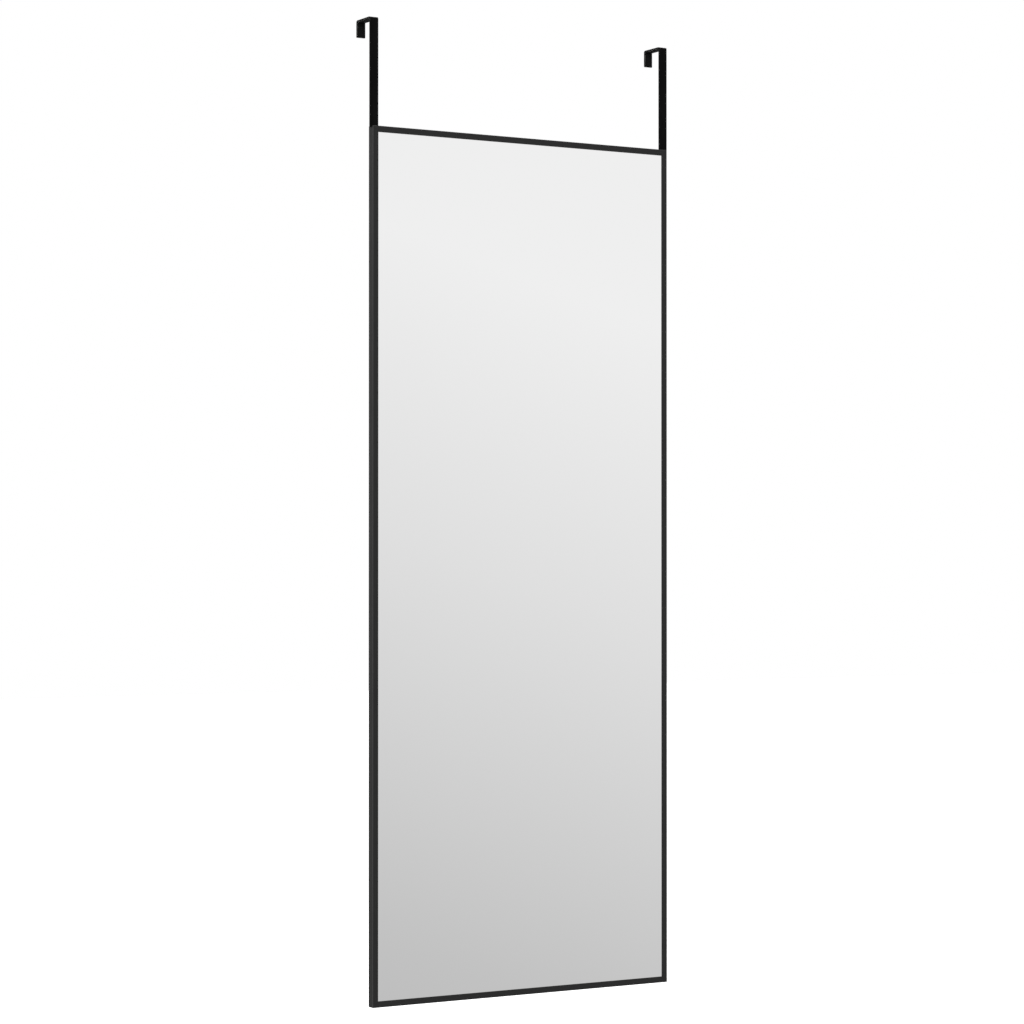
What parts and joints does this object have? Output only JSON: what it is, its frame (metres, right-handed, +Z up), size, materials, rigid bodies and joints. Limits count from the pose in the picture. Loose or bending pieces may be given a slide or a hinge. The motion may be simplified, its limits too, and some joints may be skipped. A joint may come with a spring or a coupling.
{
  "type": "over the door mirror",
  "caption": "Full length rectangular mirror in a slim black frame, hung over a door's top edge by flat bent steel hooks.",
  "frame": {"origin": "on the top edge of the door, midway between the hooks, in the plane of the door's face that the bumpers touch", "axes": "+Z up, +X to the right as seen from the front, the mirror faces -Y and the door lies on the +Y side"},
  "size_m": [0.4852, 0.0442, 1.349],
  "materials": {
    "rail_black": "black anodised, satin",
    "mirror": "silvered float glass",
    "film": "grey safety film",
    "hardboard": "brown hardboard, smooth side out",
    "hook_black": "black powder coat, fine texture",
    "foam": "black closed cell foam",
    "zinc_plate": "zinc plated pressed steel",
    "screw_steel": "black oxide steel",
    "bumper_rubber": "black soft rubber"
  },
  "bodies": {
    "root": {"left_rail": "rail_black", "right_rail": "rail_black", "top_rail": "rail_black", "bottom_rail": "rail_black", "mirror_glass": "mirror", "safety_film": "film", "backing_board": "hardboard", "hook_left": "hook_black", "hook_right": "hook_black", "bridge_pad_left": "foam", "bridge_pad_right": "foam", "lip_pad_left": "foam", "lip_pad_right": "foam", "corner_key_top_left": "zinc_plate", "corner_key_top_right": "zinc_plate", "corner_key_bottom_left": "zinc_plate", "corner_key_bottom_right": "zinc_plate", "backing_plate_top_left": "zinc_plate", "backing_plate_top_right": "zinc_plate", "backing_plate_bottom_left": "zinc_plate", "backing_plate_bottom_right": "zinc_plate", "grub_screws_top_left": "screw_steel", "grub_screws_top_right": "screw_steel", "grub_screws_bottom_left": "screw_steel", "grub_screws_bottom_right": "screw_steel", "hook_screws_left": "screw_steel", "hook_screws_right": "screw_steel", "bumper_top_left": "bumper_rubber", "bumper_top_right": "bumper_rubber", "bumper_bottom_left": "bumper_rubber", "bumper_bottom_right": "bumper_rubber"}
  },
  "joints": []
}
